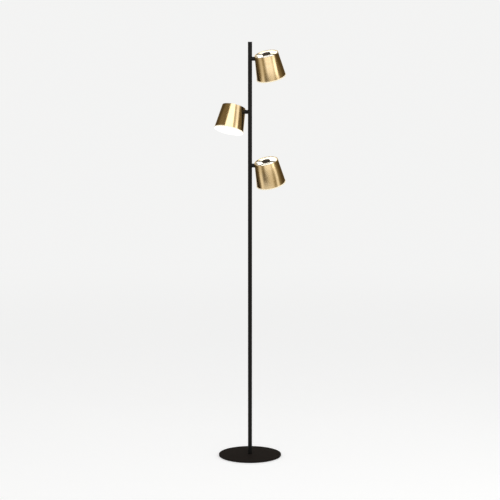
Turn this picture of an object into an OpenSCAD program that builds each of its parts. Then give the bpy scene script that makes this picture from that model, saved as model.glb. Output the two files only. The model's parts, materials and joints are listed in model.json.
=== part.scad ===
// Floor lamp with a slim pole on a disc base and three conical heads that turn on short arms.
// Millimetres, +Z up. The origin is the centre of the base's underside, on the floor.
// The arms point along +X (top and lower heads) and -X (middle head).

/* [Stand] */
// Height of the lamp, from the floor to the flat top of the pole
lamp_h = 1420; // [1200:5:1700]
// Diameter of the base plate
base_d = 215; // [180:1:300]
// Thickness of the base plate
base_t = 5; // [4:0.5:10]
// Radius of the rounding at the base plate's edges
base_edge_r = 0.8; // [0.3:0.1:1.5]
// Thickness of the soft pad under the base plate
pad_t = 1.5; // [1:0.5:4]
// How far the pad stays inside the base plate's edge
pad_inset = 5; // [2:1:15]
// Outer diameter of the pole
pole_d = 14; // [12:0.5:20]
// Wall thickness of the pole
pole_wall = 1.2; // [1:0.1:1.6]
// Height of the joint between the two pole sections above the floor
joint_z = 454; // [300:1:700]
// Chamfer on the two tube ends that meet at the joint
joint_chamfer = 0.3; // [0:0.1:0.5]
// Thickness of the cap's disc on top of the pole
cap_t = 1.2; // [0.8:0.1:3]
// Length of the cap's shank inside the pole
cap_shank = 9; // [5:1:20]

/* [Stand fixings] */
// Thread diameter of the stud that holds the pole on the base
stud_d = 8; // [6:1:8]
// Length of the stud above the base plate
stud_len = 18; // [10:1:30]
// Diameter of the stud's flush head
stud_head_d = 18; // [12:1:24]
// Thickness of the stud's flush head
stud_head_t = 2; // [1:0.5:2.5]
// Length of the threaded plug in the pole's foot
foot_plug_len = 22; // [12:1:40]
// Length of each threaded insert at the pole joint
insert_len = 18; // [10:1:30]
// Thread diameter of the hollow nipple at the pole joint
joint_thread_d = 8; // [7:0.5:9]
// Bore of the hollow nipple at the pole joint
joint_bore_d = 5.2; // [4.6:0.1:5.6]
// Distance of the joint nipple's ends from the far ends of the inserts
joint_nipple_inset = 3; // [1:0.5:6]

/* [Wiring] */
// Height of the cable gland above the floor
gland_z = 40; // [35:1:120]
// Bore of the cable gland
gland_bore_d = 5.2; // [4:0.1:5.6]
// Diameter of the gland's neck in the pole wall
gland_neck_d = 6.8; // [6.4:0.1:8]
// Diameter of the gland's outer flange
gland_flange_d = 8.6; // [8.2:0.1:11]
// How far the gland's flange stands out from the pole
gland_proud = 3; // [2:0.5:8]
// How far the gland's neck reaches into the pole's bore
gland_inside = 1; // [0.5:0.1:2]
// Diameter of the lead inside the pole
pole_lead_d = 4.4; // [3:0.1:4.6]
// Diameter of the lead in each arm and head
head_lead_d = 3.6; // [2.5:0.1:4]
// Radial gap between the splice sleeve and the pole's bore
splice_gap = 0.3; // [0.1:0.1:1.5]
// Length of the splice sleeve
splice_len = 26; // [15:1:60]
// Height of the splice sleeve's lower end above the gland
splice_above_gland = 14; // [8:1:60]

/* [Arms and swivels] */
// Distance of the top arm's axis below the top of the pole
top_arm_drop = 56.5; // [30:0.5:150]
// Distance of the middle arm's axis below the top of the pole
middle_arm_drop = 234.5; // [190:0.5:330]
// Distance of the lower arm's axis below the top of the pole
lower_arm_drop = 415; // [350:0.5:520]
// Diameter of an arm
arm_d = 13.5; // [12:0.5:14]
// Gap between the pole and a shade's wall along the arm
arm_reach = 11.5; // [10:0.5:60]
// Diameter of the wire hole between the pole and an arm
arm_wire_d = 8; // [5:0.5:9]
// Thread diameter of a swivel nipple
nipple_d = 10; // [8:0.5:10]
// Bore of a swivel nipple
nipple_bore_d = 6; // [4.6:0.2:7]
// How far the nipple reaches into the arm
nipple_in_arm = 6; // [4:0.5:8]
// How far the nipple stands past its lock nut
nipple_proud = 1.5; // [0:0.5:4]
// Thickness of the friction washer between arm and collar
friction_t = 0.8; // [0.5:0.1:2]
// Thickness of the swivel collar outside the shade
collar_t = 2.1; // [1.5:0.1:4]
// Diameter of the collar's spigot through the shade
spigot_d = 12; // [11.6:0.1:13]
// Diameter of the saddle inside the shade's wall
saddle_d = 21.5; // [20.5:0.5:22]
// Thickness of the saddle at the arm's axis
saddle_t = 2.4; // [2:0.1:5]
// Distance of the stop boss from the saddle's edge
boss_inset = 0.3; // [0.1:0.1:0.5]
// Radial room between the washers and the stop boss
boss_room = 0.5; // [0.3:0.1:0.6]
// Thickness of the stop washer
stop_t = 1; // [0.8:0.1:2]
// Width of the stop washer's tab and of the saddle's stop boss
stop_w = 2.2; // [1.6:0.1:3]
// Outer diameter of the washers under the lock nut
washer_d = 16; // [14:0.5:16.5]
// Thickness of the spring washer
spring_t = 0.8; // [0.5:0.1:2]
// Width across the flats of the lock nut
nut_af = 14; // [13:0.5:14.5]
// Thickness of the lock nut
nut_t = 4; // [3:0.5:6]

/* [Shades] */
// Outer diameter of a shade at its top rim
shade_top_d = 80.5; // [70:0.5:110]
// Outer diameter of a shade at its lower edge
shade_bot_d = 99; // [86:0.5:130]
// Height of the brass shade along its axis
shade_h = 81; // [65:1:120]
// Wall thickness of a shade
shade_t = 1; // [0.8:0.1:2]
// Distance of the arm's axis below the shade's rim, along the shade
hinge_drop = 17; // [16.5:0.5:40]
// Lean of a head as photographed, with its top turned about the arm
head_lean = 20; // [-60:0.5:60]
// Height of the diffuser's visible lip under the shade
lip_h = 3; // [2:0.5:6]
// How far the lip stands out from the shade's edge
lip_proud = 1; // [0:0.05:3]
// Radius of the rounding at the lip's outer edges
lip_edge_r = 1; // [0.3:0.1:1]
// Height of the diffuser's ring inside the shade
ring_h = 5; // [3:0.5:12]
// Thickness of the diffuser's ring
ring_t = 1.6; // [1:0.1:3]

/* [Light unit] */
// Width of the spider's bar across the shade's top
bar_w = 7; // [5:0.5:8]
// Thickness of the spider's sheet
bar_t = 1.5; // [1:0.1:3]
// Width of the spider's ring inside the shade's rim
spider_ring_w = 3; // [2:0.5:6]
// Turn of the bar about the shade's axis, from the arm's direction towards the front
bar_turn = 17; // [15:1:90]
// Height of the tabs that hold the spider on the shade's wall
tab_h = 4.5; // [3:0.5:5]
// Diameter of the hub in the middle of the bar
hub_d = 28; // [22:1:34]
// Height of the hub cap above the bar
hub_cap_h = 2.4; // [2.2:0.1:8]
// Chamfer on the hub cap's upper edge
hub_chamfer = 0.6; // [0.2:0.1:1.5]
// Diameter of the heat sink under the bar
sink_d = 27; // [24:1:32]
// Height of the heat sink
sink_h = 15.5; // [14:0.5:20]
// Width of the grooves round the heat sink
groove_w = 1.2; // [0.8:0.1:1.5]
// Depth of the grooves round the heat sink
groove_depth = 2.5; // [1:0.1:3]
// Distance of the outermost grooves from the heat sink's ends
groove_edge = 1; // [0.8:0.1:2]
// Distance between the two upper grooves
groove_pitch = 2.6; // [2:0.1:3.5]
// Diameter of the LED board
board_d = 24; // [20:0.5:27]
// Thickness of the LED board
board_t = 1.6; // [1:0.2:2.4]
// Diameter of the LED chip
chip_d = 11; // [6:0.5:13]
// Thickness of the LED chip
chip_t = 0.9; // [0.6:0.1:2]
// Thread diameter of the hub screw
hub_screw_d = 3; // [2.5:0.5:3]
// Length of the hub screw under its head
hub_screw_len = 8; // [5:1:12]
// Thread diameter of the board screws
board_screw_d = 2.4; // [2:0.1:3]
// Length of a board screw under its head
board_screw_len = 6; // [4:0.5:8]
// Distance of each board screw from the board's centre
board_screw_r = 8.8; // [8.4:0.1:9.4]
// How far the lead rises between the swivel and the heat sink
lead_rise = 4; // [3:0.5:5]
// Depth of the lead's hole in the heat sink
lead_entry = 4; // [2:0.5:7]

/* [Clearances] */
// Radial clearance of threads and press seats within one body
seat_gap = 0.05; // [0.02:0.01:0.1]
// Radial running clearance of a swivel collar on its nipple
run_gap = 0.06; // [0.02:0.01:0.1]
// Gap between faces of the arm side and the head side
face_gap = 0.2; // [0.1:0.05:0.5]

/* [Hidden] */
HEADS = ["top", "middle", "lower"];
HEAD_PARTS = ["shade", "diffuser", "spider_ring", "hub_cap", "hub_screw", "heat_sink",
              "led_board", "led_chip", "board_screws", "swivel_collar", "wall_saddle", "head_lead"];
STAND_PARTS = ["base_pad", "base_plate", "base_stud", "foot_plug", "lower_pole", "cable_gland",
               "splice_sleeve", "pole_lead", "lower_joint_insert", "joint_nipple",
               "upper_joint_insert", "upper_pole", "pole_cap", "swivel_nipples",
               "friction_washers", "stop_washers", "spring_washers", "lock_nuts"];
$fn = 96;

// colours
black = [0.07, 0.07, 0.07];
base_black = [0.13, 0.12, 0.11];
brass = [0.80, 0.66, 0.40];
opal = [0.98, 0.96, 0.90];
steel = [0.66, 0.67, 0.69];
raw_aluminium = [0.78, 0.79, 0.80];
board_white = [0.93, 0.94, 0.92];
chip_yellow = [0.95, 0.80, 0.25];
pad_grey = [0.20, 0.20, 0.21];

// heads: height of each arm's axis and the way it points
heads = [0, 1, 2];
arm_z = [for (drop = [top_arm_drop, middle_arm_drop, lower_arm_drop]) lamp_h - drop];
arm_turn = [0, 180, 0];

// stand
plate_top = pad_t + base_t;
pole_r = pole_d / 2;
pole_bore_r = pole_r - pole_wall;
insert_r = pole_bore_r - seat_gap;
pole_top = lamp_h - cap_t;
splice_z = gland_z + splice_above_gland;
gland_out = pole_r + gland_proud;
cut = 1; // how far a cut runs past the face that it opens
shell_fn = 180; // the large round shells are drawn finer

// shade: outer radius at a depth below the rim, and the tilt that squares its wall to the arm
shade_slope = (shade_bot_d - shade_top_d) / 2 / shade_h;
half_cone = atan(shade_slope);
function shade_r(depth) = shade_top_d / 2 + shade_slope * depth;

// stations along the arm's axis, measured from the pole's axis
wall_x = pole_r + arm_reach;
collar_x = wall_x - collar_t;
friction_x = collar_x - face_gap - friction_t;
saddle_x = wall_x + shade_t + saddle_t;
stop_x = saddle_x + face_gap;
spring_x = stop_x + stop_t;
nut_x = spring_x + spring_t;
nut_end_x = nut_x + nut_t;
nipple_x = friction_x - nipple_in_arm;
nipple_end_x = nut_end_x + nipple_proud;
hinge_x = wall_x + shade_r(hinge_drop) * cos(half_cone);

// swivel
nipple_r = nipple_d / 2;
thread_bore_r = nipple_r + seat_gap;
collar_bore_r = nipple_r + run_gap;
spigot_r = spigot_d / 2;
spigot_hole_r = spigot_r + seat_gap;
boss_outer_r = saddle_d / 2 - boss_inset;
boss_inner_r = washer_d / 2 + boss_room;
boss_root = 0.5; // how deep the boss is rooted in the saddle
lead_split_x = wall_x; // where the arm's lead ends and the head's lead begins

// light unit
hub_r = hub_d / 2;
sink_r = sink_d / 2;
pan_r = 0.9; // a pan head's radius and height, as shares of the thread's diameter
pan_t = 0.55;
head_room = 0.2; // room round the hub screw's head in the hub cap
thread_room = 0.5; // blind threads reach this much deeper than their screws
groove_tops = [groove_edge, groove_edge + groove_pitch, sink_h - groove_edge - groove_w];

// the head's lead: straight out of the nipple, an S in the arm's plane, straight into the heat sink
lead_r = head_lead_d / 2;
lead_sides = 12;
lead_steps = 12;
lead_straight = 1; // straight run past the nipple and before the heat sink
sink_face_x = hinge_x - sink_r; // the heat sink's side, where the lead goes in
bend_x0 = nipple_end_x + lead_straight;
bend_run = sink_face_x - lead_straight - bend_x0;

// ---- places ----

module at_arm(i) {
    translate([0, 0, arm_z[i]]) rotate([0, 0, arm_turn[i]]) children();
}

// a head's own frame: turned about its arm by the photographed lean
module at_head(i) {
    at_arm(i) rotate([head_lean, 0, 0]) children();
}

// the shade's frame in a head: the rim's centre, with -Z down the shade
module in_shade() {
    translate([hinge_x, 0, 0]) rotate([0, -half_cone, 0]) translate([0, 0, hinge_drop]) children();
}

// the bar's frame: +X along the bar
module in_bar() {
    in_shade() rotate([0, 0, -bar_turn]) children();
}

module at_all_arms() {
    for (i = heads) at_arm(i) children();
}

// ---- shapes ----

// a rod along the arm's axis, from one station to another
module x_rod(x0, x1, r) {
    translate([x0, 0, 0]) rotate([0, 90, 0]) cylinder(h = x1 - x0, r = r);
}

module x_ring(x0, x1, r, bore_r) {
    difference() {
        x_rod(x0, x1, r);
        x_rod(x0 - cut, x1 + cut, bore_r);
    }
}

module z_ring(z0, z1, r, bore_r) {
    translate([0, 0, z0]) difference() {
        cylinder(h = z1 - z0, r = r);
        translate([0, 0, -cut]) cylinder(h = z1 - z0 + 2 * cut, r = bore_r);
    }
}

// a quarter of a rounded edge, as points round a centre
function arc_points(cx, cy, r, a0, a1, n = 6) =
    [for (k = [0:n]) let (a = a0 + (a1 - a0) * k / n) [cx + r * cos(a), cy + r * sin(a)]];

// a disc whose two outer edges are rounded
module rounded_disc(z0, z1, r, edge_r) {
    rotate_extrude() polygon(concat(
        [[0, z0]],
        arc_points(r - edge_r, z0 + edge_r, edge_r, -90, 0),
        arc_points(r - edge_r, z1 - edge_r, edge_r, 0, 90),
        [[0, z1]]));
}

// a tube along Z whose lower and upper outer edges are chamfered
module tube(z0, z1, chamfer0, chamfer1) {
    rotate_extrude() polygon([
        [pole_bore_r, z0], [pole_r - chamfer0, z0], [pole_r, z0 + chamfer0],
        [pole_r, z1 - chamfer1], [pole_r - chamfer1, z1], [pole_bore_r, z1]]);
}

// the solid cone inside a shade's wall, drawn in by a gap, between two depths
module shade_core(gap, depth0, depth1) {
    translate([0, 0, -depth1])
        cylinder(h = depth1 - depth0, r1 = shade_r(depth1) - shade_t - gap,
                 r2 = shade_r(depth0) - shade_t - gap);
}

// ---- stand ----

module base_pad() {
    color(pad_grey) cylinder(h = pad_t, d = base_d - 2 * pad_inset);
}

module base_plate() {
    color(base_black) difference() {
        rounded_disc(pad_t, plate_top, base_d / 2, base_edge_r);
        translate([0, 0, pad_t - cut]) {
            cylinder(h = base_t + 2 * cut, r = stud_d / 2 + seat_gap);
            cylinder(h = stud_head_t + cut, r = stud_head_d / 2 + seat_gap);
        }
    }
}

module base_stud() {
    color(steel) {
        translate([0, 0, pad_t]) cylinder(h = stud_head_t, d = stud_head_d);
        translate([0, 0, pad_t]) cylinder(h = base_t + stud_len, d = stud_d);
    }
}

module foot_plug() {
    color(steel) z_ring(plate_top, plate_top + foot_plug_len, insert_r, stud_d / 2 + seat_gap);
}

module lower_pole() {
    color(black) difference() {
        tube(plate_top, joint_z, 0, joint_chamfer);
        translate([0, 0, gland_z]) rotate([-90, 0, 0])
            cylinder(h = pole_d, r = gland_neck_d / 2 + seat_gap);
    }
}

// a rubber gland through the back of the pole, with its flange shaped to the pole
module cable_gland() {
    color(black) translate([0, 0, gland_z]) difference() {
        union() {
            difference() {
                rotate([-90, 0, 0]) cylinder(h = gland_out, d = gland_flange_d);
                translate([0, 0, -gland_flange_d])
                    cylinder(h = 2 * gland_flange_d, r = pole_r + seat_gap);
            }
            translate([0, pole_bore_r - gland_inside, 0]) rotate([-90, 0, 0])
                cylinder(h = gland_out - pole_bore_r + gland_inside, d = gland_neck_d);
        }
        rotate([-90, 0, 0]) cylinder(h = gland_out + cut, d = gland_bore_d);
    }
}

module splice_sleeve() {
    color(black) z_ring(splice_z, splice_z + splice_len, pole_bore_r - splice_gap,
                        pole_lead_d / 2 + seat_gap);
}

// the lead in the pole, with a branch into each arm
module pole_lead() {
    color(pad_grey) {
        translate([0, 0, splice_z]) cylinder(h = arm_z[0] - splice_z, d = pole_lead_d);
        translate([0, 0, arm_z[0]]) sphere(d = pole_lead_d);
        at_all_arms() x_rod(0, lead_split_x - face_gap / 2, lead_r);
    }
}

module lower_joint_insert() {
    color(steel) z_ring(joint_z - insert_len, joint_z, insert_r, joint_thread_d / 2 + seat_gap);
}

module upper_joint_insert() {
    color(steel) z_ring(joint_z, joint_z + insert_len, insert_r, joint_thread_d / 2 + seat_gap);
}

module joint_nipple() {
    half = insert_len - joint_nipple_inset;
    color(steel) z_ring(joint_z - half, joint_z + half, joint_thread_d / 2, joint_bore_d / 2);
}

module upper_pole() {
    color(black) difference() {
        tube(joint_z, pole_top, joint_chamfer, 0);
        at_all_arms() x_rod(0, pole_d, arm_wire_d / 2);
    }
}

module pole_cap() {
    color(black) {
        translate([0, 0, pole_top]) cylinder(h = cap_t, d = pole_d);
        translate([0, 0, pole_top - cap_shank]) cylinder(h = cap_shank, r = insert_r);
    }
}

// ---- arms and the fixed side of each swivel ----

module arm(i) {
    color(black) at_arm(i) difference() {
        x_rod(0, friction_x, arm_d / 2);
        translate([0, 0, -arm_d]) cylinder(h = 2 * arm_d, r = pole_r + seat_gap);
        x_rod(-cut, friction_x + cut, arm_wire_d / 2);
        x_rod(nipple_x, friction_x + cut, thread_bore_r);
    }
}

module swivel_nipples() {
    color(steel) at_all_arms() x_ring(nipple_x, nipple_end_x, nipple_r, nipple_bore_d / 2);
}

module friction_washers() {
    color(black) at_all_arms() x_ring(friction_x, friction_x + friction_t, arm_d / 2, thread_bore_r);
}

// a keyed washer whose tab, pointing up, meets the saddle's boss at both ends of the turn
module stop_washers() {
    color(steel) at_all_arms() difference() {
        union() {
            x_rod(stop_x, stop_x + stop_t, washer_d / 2);
            translate([stop_x, -stop_w / 2, 0]) cube([stop_t, stop_w, boss_outer_r]);
        }
        x_rod(stop_x - cut, stop_x + stop_t + cut, thread_bore_r);
    }
}

module spring_washers() {
    color(steel) at_all_arms() x_ring(spring_x, spring_x + spring_t, washer_d / 2, thread_bore_r);
}

module lock_nuts() {
    color(steel) at_all_arms() difference() {
        translate([nut_x, 0, 0]) rotate([0, 90, 0])
            cylinder(h = nut_t, d = nut_af / cos(30), $fn = 6);
        x_rod(nut_x - cut, nut_end_x + cut, thread_bore_r);
    }
}

// ---- the turning side of each swivel ----

module swivel_collar(i) {
    color(black) at_head(i) difference() {
        union() {
            difference() {
                x_rod(collar_x, wall_x + shade_t, arm_d / 2);
                in_shade() translate([0, 0, -shade_h])
                    cylinder(h = shade_h, r1 = shade_r(shade_h) + seat_gap,
                             r2 = shade_r(0) + seat_gap);
            }
            x_rod(collar_x, saddle_x, spigot_r);
        }
        x_rod(collar_x - cut, saddle_x + cut, collar_bore_r);
    }
}

// a block that follows the shade's inner wall, below the spider, and seats the washers flat
module wall_saddle(i) {
    color(black) at_head(i) difference() {
        union() {
            intersection() {
                x_rod(wall_x, saddle_x, saddle_d / 2);
                in_shade() shade_core(seat_gap, bar_t + seat_gap, shade_h);
            }
            translate([saddle_x - boss_root, -stop_w / 2, -boss_outer_r])
                cube([boss_root + face_gap + stop_t, stop_w, boss_outer_r - boss_inner_r]);
        }
        x_rod(wall_x - cut, saddle_x + cut, spigot_hole_r);
        in_bar() bar_box(-tab_h - seat_gap, 0, seat_gap);
    }
}

// ---- shade and diffuser ----

module shade(i) {
    color(brass) at_head(i) difference() {
        in_shade() rotate_extrude($fn = shell_fn) polygon([
            [shade_r(0), 0], [shade_r(0) - shade_t, 0],
            [shade_r(shade_h) - shade_t, -shade_h], [shade_r(shade_h), -shade_h]]);
        x_rod(collar_x, saddle_x, spigot_hole_r);
    }
}

// an opal disc under the shade's edge, with a ring that pushes into the shade
module diffuser(i) {
    ring_r = shade_r(shade_h) - shade_t - seat_gap;
    ring_top_r = shade_r(shade_h - ring_h) - shade_t - seat_gap;
    lip_r = shade_bot_d / 2 + lip_proud;
    color(opal) at_head(i) in_shade() translate([0, 0, -shade_h]) {
        rounded_disc(-lip_h, 0, lip_r, min(lip_edge_r, lip_h / 2));
        rotate_extrude($fn = shell_fn) polygon([
            [ring_r, -lip_h / 2], [ring_r, 0], [ring_top_r, ring_h],
            [ring_top_r - ring_t, ring_h], [ring_r - ring_t, 0], [ring_r - ring_t, -lip_h / 2]]);
    }
}

// ---- light unit, hung under the spider's bar ----

// a box along the bar, right across the shade, between two heights
module bar_box(z0, z1, room = 0) {
    translate([-shade_bot_d / 2, -bar_w / 2 - room, z0])
        cube([shade_bot_d, bar_w + 2 * room, z1 - z0]);
}

// a sheet ring with a bar, a round middle and two tabs bent down along the shade's wall
module spider_ring(i) {
    color(black) at_head(i) in_bar() difference() {
        union() {
            intersection() {
                shade_core(seat_gap, 0, bar_t);
                union() {
                    z_ring(-bar_t, 0, shade_top_d / 2,
                           shade_r(0) - shade_t - seat_gap - spider_ring_w);
                    bar_box(-bar_t, 0);
                    translate([0, 0, -bar_t]) cylinder(h = bar_t, r = hub_r);
                }
            }
            intersection() {
                difference() {
                    shade_core(seat_gap, 0, tab_h);
                    shade_core(seat_gap + bar_t, 0, tab_h);
                }
                bar_box(-tab_h, 0);
            }
        }
        translate([0, 0, -bar_t - cut])
            cylinder(h = bar_t + 2 * cut, r = hub_screw_d / 2 + seat_gap);
    }
}

module hub_cap(i) {
    color(black) at_head(i) in_shade() difference() {
        rotate_extrude() polygon([
            [0, 0], [hub_r, 0], [hub_r, hub_cap_h - hub_chamfer],
            [hub_r - hub_chamfer, hub_cap_h], [0, hub_cap_h]]);
        translate([0, 0, -cut])
            cylinder(h = cut + pan_t * hub_screw_d + head_room, r = pan_r * hub_screw_d + head_room);
    }
}

module hub_screw(i) {
    color(steel) at_head(i) in_shade() {
        cylinder(h = pan_t * hub_screw_d, r = pan_r * hub_screw_d);
        translate([0, 0, -hub_screw_len]) cylinder(h = hub_screw_len, d = hub_screw_d);
    }
}

module at_board_screws() {
    in_bar() for (side = [-1, 1])
        translate([0, side * board_screw_r, -bar_t - sink_h]) children();
}

module heat_sink(i) {
    color(raw_aluminium) at_head(i) difference() {
        in_shade() translate([0, 0, -bar_t - sink_h]) cylinder(h = sink_h, r = sink_r);
        in_shade() for (d = groove_tops)
            z_ring(-bar_t - d - groove_w, -bar_t - d, sink_r + cut, sink_r - groove_depth);
        in_shade() translate([0, 0, -hub_screw_len - thread_room])
            cylinder(h = hub_screw_len + thread_room, r = hub_screw_d / 2 + seat_gap);
        at_board_screws() translate([0, 0, -board_t])
            cylinder(h = board_screw_len + thread_room, r = board_screw_d / 2 + seat_gap);
        translate([0, 0, lead_rise])
            x_rod(sink_face_x - cut, sink_face_x + lead_entry, lead_r + seat_gap);
    }
}

module led_board(i) {
    color(board_white) at_head(i) difference() {
        in_shade() translate([0, 0, -bar_t - sink_h - board_t]) cylinder(h = board_t, d = board_d);
        at_board_screws() translate([0, 0, -board_t - cut])
            cylinder(h = board_t + 2 * cut, r = board_screw_d / 2 + seat_gap);
    }
}

module led_chip(i) {
    color(chip_yellow) at_head(i) in_shade()
        translate([0, 0, -bar_t - sink_h - board_t - chip_t]) cylinder(h = chip_t, d = chip_d);
}

module board_screws(i) {
    color(steel) at_head(i) at_board_screws() {
        translate([0, 0, -board_t - pan_t * board_screw_d])
            cylinder(h = pan_t * board_screw_d, r = pan_r * board_screw_d);
        translate([0, 0, -board_t]) cylinder(h = board_screw_len, d = board_screw_d);
    }
}

// height and slope of the lead's S at a share t of its run
function lead_z(t) = lead_rise * t * t * (3 - 2 * t);
function lead_slope(t) = 6 * lead_rise / bend_run * t * (1 - t);

// a ring of points round the lead, square to its slope
function lead_ring(x, z, slope) = let (a = atan(slope))
    [for (k = [0:lead_sides - 1]) let (c = 360 * k / lead_sides)
        [x - lead_r * cos(c) * sin(a), lead_r * sin(c), z + lead_r * cos(c) * cos(a)]];

module head_lead(i) {
    rings = concat(
        [lead_ring(lead_split_x + face_gap / 2, 0, 0)],
        [for (k = [0:lead_steps]) let (t = k / lead_steps)
            lead_ring(bend_x0 + bend_run * t, lead_z(t), lead_slope(t))],
        [lead_ring(sink_face_x + lead_entry - face_gap, lead_rise, 0)]);
    last = len(rings) - 1;
    color(pad_grey) at_head(i) polyhedron(
        points = [for (ring = rings) each ring],
        faces = concat(
            [[for (k = [0:lead_sides - 1]) k]],
            [for (j = [0:last - 1]) for (k = [0:lead_sides - 1])
                let (n = (k + 1) % lead_sides, a = j * lead_sides, b = a + lead_sides)
                    [a + k, b + k, b + n, a + n]],
            [[for (k = [lead_sides - 1:-1:0]) last * lead_sides + k]]));
}

// ---- nodes ----

base_pad();
base_plate();
base_stud();
foot_plug();
lower_pole();
cable_gland();
splice_sleeve();
pole_lead();
lower_joint_insert();
joint_nipple();
upper_joint_insert();
upper_pole();
pole_cap();
swivel_nipples();
friction_washers();
stop_washers();
spring_washers();
lock_nuts();
for (i = heads) {
    arm(i);
    shade(i);
    diffuser(i);
    spider_ring(i);
    hub_cap(i);
    hub_screw(i);
    heat_sink(i);
    led_board(i);
    led_chip(i);
    board_screws(i);
    swivel_collar(i);
    wall_saddle(i);
    head_lead(i);
}
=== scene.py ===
import json
import math
import bpy
from mathutils import Matrix, Vector


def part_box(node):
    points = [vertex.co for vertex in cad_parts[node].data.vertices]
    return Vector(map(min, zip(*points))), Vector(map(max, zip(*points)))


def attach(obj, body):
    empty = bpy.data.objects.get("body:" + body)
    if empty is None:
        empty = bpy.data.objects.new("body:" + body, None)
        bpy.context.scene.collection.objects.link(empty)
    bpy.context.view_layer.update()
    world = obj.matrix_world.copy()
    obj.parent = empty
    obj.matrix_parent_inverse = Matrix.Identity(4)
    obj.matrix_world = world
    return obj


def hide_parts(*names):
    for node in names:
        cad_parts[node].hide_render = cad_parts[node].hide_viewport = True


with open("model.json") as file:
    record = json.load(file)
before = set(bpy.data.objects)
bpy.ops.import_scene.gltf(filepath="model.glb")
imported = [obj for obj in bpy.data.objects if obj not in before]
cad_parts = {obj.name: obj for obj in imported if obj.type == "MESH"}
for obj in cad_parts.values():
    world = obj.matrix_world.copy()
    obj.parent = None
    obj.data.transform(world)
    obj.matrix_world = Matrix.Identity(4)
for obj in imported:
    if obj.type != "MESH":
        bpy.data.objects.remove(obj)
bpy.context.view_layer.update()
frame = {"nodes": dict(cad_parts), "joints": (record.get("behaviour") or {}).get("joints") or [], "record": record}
joints = {j["child"]: j for j in frame["joints"]}
heads = ["top", "middle", "lower"]
mm = 0.001
spare = 1 * mm  # how far a cutter stands out past what it cuts

# the camera stands where the photograph was taken from: degrees, metres, millimetres of lens
cameraSet = {"turn": 17.0, "distance": 5.341, "height": 1.381, "down": 7.09, "lens": 113.76,
             "sensor": 36}


def makeCamera():
    s = cameraSet
    turn = math.radians(s["turn"])
    bpy.ops.object.camera_add(
        location=(s["distance"] * math.sin(turn), -s["distance"] * math.cos(turn), s["height"]),
        rotation=(math.radians(90 - s["down"]), 0, turn))
    camera = bpy.context.object
    camera.data.lens = s["lens"]
    camera.data.sensor_width = s["sensor"]
    bpy.context.scene.camera = camera


def opaque(value):
    # a colour gets its alpha, and a number or a wire stays as it is
    return (*value, 1) if isinstance(value, tuple) else value


class Wire:
    # a socket with arithmetic: an expression on wires adds its own Math nodes
    def __init__(self, tree, socket=None):
        self.tree = tree
        self.socket = socket

    def node(self, kind, settings=None, plugs=None, out=0):
        made = self.tree.nodes.new(kind)
        for key, value in (settings or {}).items():
            setattr(made, key, value)
        for key, value in (plugs or {}).items():
            self.plug(made.inputs[key], value)
        return Wire(self.tree, made.outputs[out])

    def plug(self, socket, value):
        if isinstance(value, Wire):
            self.tree.links.new(value.socket, socket)
        else:
            socket.default_value = value

    def maths(self, operation, first, second=0.0):
        return self.node("ShaderNodeMath", {"operation": operation}, {0: first, 1: second})

    def __add__(self, other):
        return self.maths("ADD", self, other)

    def __sub__(self, other):
        return self.maths("SUBTRACT", self, other)

    def __mul__(self, other):
        return self.maths("MULTIPLY", self, other)

    def __rsub__(self, other):
        return self.maths("SUBTRACT", other, self)

    __radd__ = __add__
    __rmul__ = __mul__

    # the texture and mixing nodes that the finishes share
    def noise(self, place, scale=1.0, detail=2.0, rough=0.5):
        return self.node("ShaderNodeTexNoise", None,
                         {"Vector": place, "Scale": scale, "Detail": detail, "Roughness": rough})

    def swing(self, amount):
        # a noise lies round a half, and its swing lies round nothing
        return (self - 0.5) * amount

    def stretch(self, place, along):
        return self.node("ShaderNodeVectorMath", {"operation": "MULTIPLY"}, {0: place, 1: along})

    def reach(self, place):
        # distance from the upright axis
        return self.node("ShaderNodeVectorMath", {"operation": "LENGTH"},
                         {0: self.stretch(place, (1, 1, 0))}, out="Value")

    def band(self, value, low, high):
        return self.node("ShaderNodeMapRange", {"interpolation_type": "SMOOTHSTEP"},
                         {"Value": value, "From Min": low, "From Max": high})

    def mix(self, factor, first, second):
        # a Mix node's colours go into sockets 6 and 7, and their mix comes out of 2
        return self.node("ShaderNodeMix", {"data_type": "RGBA"},
                         {"Factor": factor, 6: opaque(first), 7: opaque(second)}, out=2)

    def bump(self, height, strength, distance):
        return self.node("ShaderNodeBump", None,
                         {"Strength": strength, "Distance": distance, "Height": height})


def newFinish(name, fixed):
    # a material whose unchanging values sit on the shader's own sockets
    material = bpy.data.materials.new(name)
    material.use_nodes = True
    shader = material.node_tree.nodes["Principled BSDF"]
    for key, value in fixed.items():
        shader.inputs[key].default_value = opaque(value)
    return material, Wire(material.node_tree), shader.inputs


def objectPlace(w):
    return w.node("ShaderNodeTexCoord", out="Object")


def ownPlace(w):
    # where a point lies in the head's own frame, kept from before the piece was put in place
    return w.node("ShaderNodeAttribute", {"attribute_name": "own"}, out="Vector")


# in each look, noises are given by their number per metre, relief is their depth in metres, and
# reliefLevel is how strongly it shows
fineNoise = {"detail": 3.0, "rough": 0.6}
brassLook = {"light": (0.81, 0.63, 0.37), "deep": (0.73, 0.545, 0.295),
             "toneFrom": 0.36, "toneTo": 0.66, "strokeTone": 0.45, "passTone": 0.35,
             "cloudTone": 0.2, "strokes": (55, 55, 4200), "passes": (9, 9, 520), "clouds": 38.0,
             "rough": 0.20, "strokeRough": 0.12, "cloudRough": 0.05,
             "grain": 0.80, "grainTurn": 0.25, "lacquer": 0.06, "lacquerRough": 0.2,
             "strokeRelief": 0.8, "passRelief": 0.2, "reliefLevel": 0.4, "relief": 0.02 * mm}


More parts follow.
